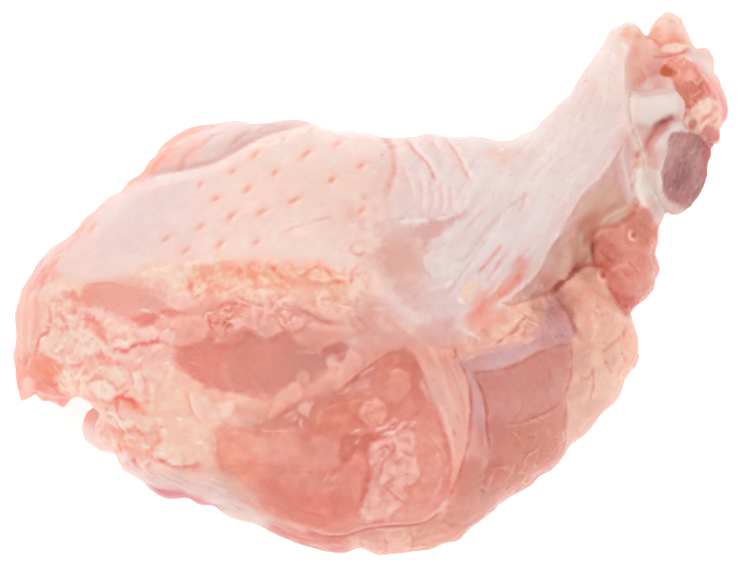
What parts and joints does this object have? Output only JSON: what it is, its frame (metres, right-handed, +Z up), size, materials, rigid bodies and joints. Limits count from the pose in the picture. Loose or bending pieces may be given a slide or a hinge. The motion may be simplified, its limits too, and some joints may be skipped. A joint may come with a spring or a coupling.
{
  "type": "raw chicken drumette",
  "caption": "Raw drumette of a chicken wing: plump meat partly covered by skin, with the bone showing at both ends, resting on its side.",
  "frame": {"origin": "middle of the bounding box in plan, at the board it rests on", "axes": "+X along the bone from the shoulder end to the elbow end, +Z up, shown side up"},
  "size_m": [0.0934, 0.0602, 0.0267],
  "materials": {
    "flesh": "moist raw meat, fat and skin",
    "bone": "damp cartilage and cut bone"
  },
  "bodies": {
    "root": {"flesh": "flesh", "bone": "bone"}
  },
  "joints": []
}
